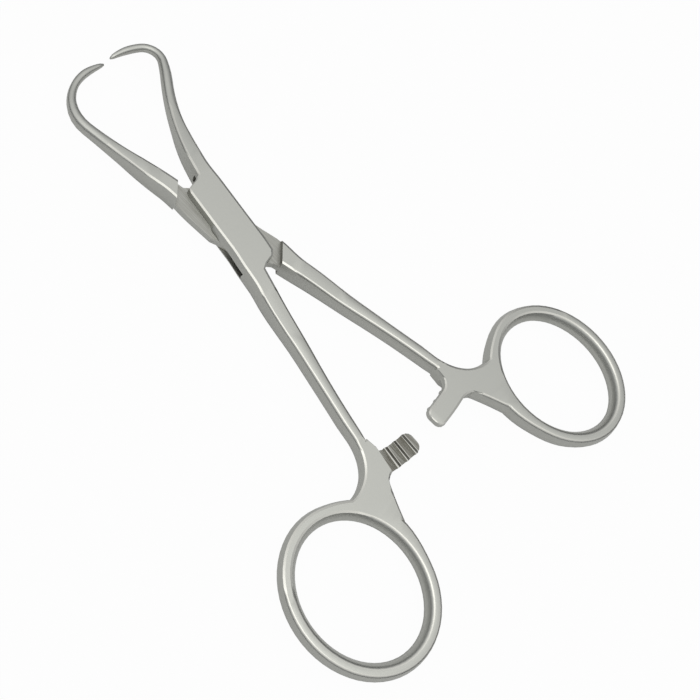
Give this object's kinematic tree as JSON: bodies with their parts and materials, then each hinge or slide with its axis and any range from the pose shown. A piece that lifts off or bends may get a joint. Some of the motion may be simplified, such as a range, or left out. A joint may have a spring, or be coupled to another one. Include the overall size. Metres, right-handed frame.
{
  "type": "towel clamp",
  "caption": "Surgical towel clamp: two forged halves crossing in a box lock, with finger rings, a toothed ratchet and curved pointed jaws.",
  "frame": {"origin": "on the pivot axis, at the back face of the box lock, on which the clamp lies", "axes": "+Y along the clamp towards the jaws, +Z out of the front face, +X towards the box half's jaw; the box half's ring lies at -X"},
  "size_m": [0.0964, 0.1307, 0.0052],
  "materials": {
    "box_half": "satin",
    "male_half": "satin",
    "pivot_pin": "satin"
  },
  "bodies": {
    "box_side": {"box_half": "box_half", "pivot_pin": "pivot_pin"},
    "male_side": {"male_half": "male_half"}
  },
  "joints": [
    {"name": "box_lock", "type": "hinge", "parent": "box_side", "child": "male_side", "pos_m": [0, 0, 0.0026], "axis": [0, 0, 1], "range_deg": [-2.6, 35]}
  ]
}
